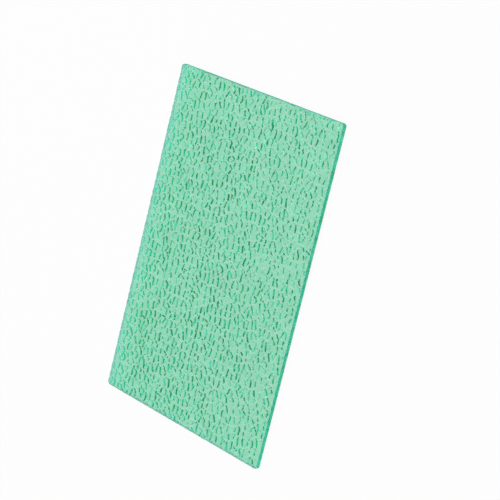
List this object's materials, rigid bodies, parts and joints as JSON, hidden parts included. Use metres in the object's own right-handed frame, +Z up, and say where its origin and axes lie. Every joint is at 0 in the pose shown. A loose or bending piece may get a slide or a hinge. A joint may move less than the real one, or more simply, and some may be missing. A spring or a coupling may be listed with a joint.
{
  "type": "solid polycarbonate sheet",
  "caption": "Flat cut piece of solid translucent green polycarbonate sheet, smooth on one face and embossed with a pebble relief on the other, for glazing and privacy panels.",
  "frame": {"origin": "middle of the smooth face that the sheet lies on", "axes": "X across the sheet, Y along its length, Z up out of the embossed face"},
  "size_m": [0.1, 0.15, 0.0021],
  "materials": {
    "green_polycarbonate": "gloss"
  },
  "bodies": {
    "root": {"embossed_sheet": "green_polycarbonate"}
  },
  "joints": []
}
